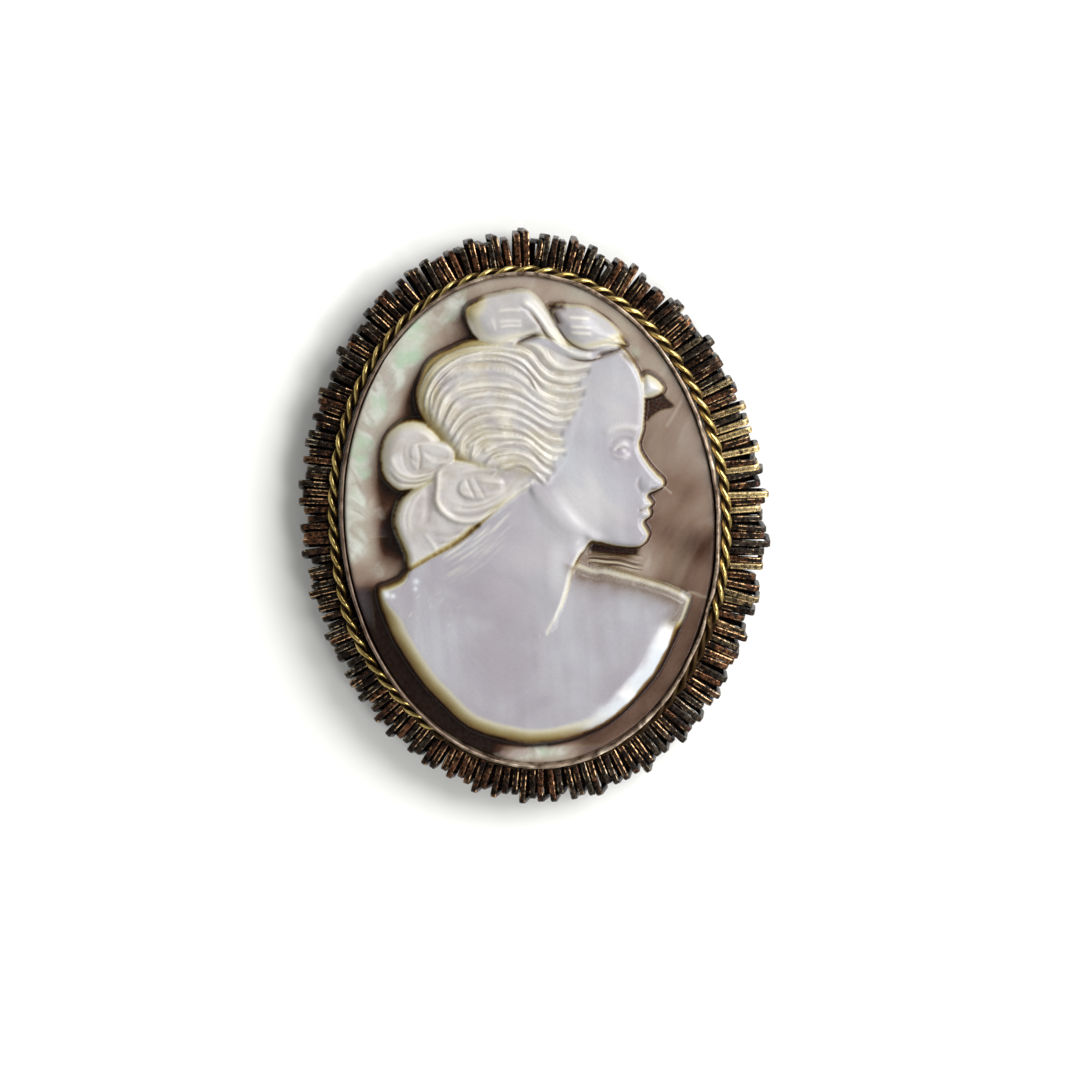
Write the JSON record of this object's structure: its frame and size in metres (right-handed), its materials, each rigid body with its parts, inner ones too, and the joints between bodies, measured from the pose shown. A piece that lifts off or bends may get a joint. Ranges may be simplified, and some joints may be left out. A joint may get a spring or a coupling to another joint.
{
  "type": "cameo brooch",
  "caption": "Oval brooch with a carved shell bust in a bezel setting, edged by a twisted rope and a radial wire coil fringe, with a pin across the back.",
  "frame": {"origin": "on the plane that the pin hardware rests on, under the middle of the brooch's box", "axes": "+Z out of the carved face, +Y along the long axis to the crown of the head, +X to the side that the head faces"},
  "size_m": [0.0379, 0.0466, 0.0074],
  "materials": {
    "shell": "polished mother of pearl, lilac white over brown",
    "tarnished_metal": "tarnished, rubbed bright along the rim",
    "gilt_metal": "gilt, dark in the grooves",
    "fringe_wire": "blackened wire, copper and grey where rubbed",
    "pin_metal": "dull worn brass"
  },
  "bodies": {
    "root": {"cameo": "shell", "setting": "tarnished_metal", "rope_strand_a": "gilt_metal", "rope_strand_b": "gilt_metal", "wire_coil": "fringe_wire", "pin_back": "pin_metal"}
  },
  "joints": []
}
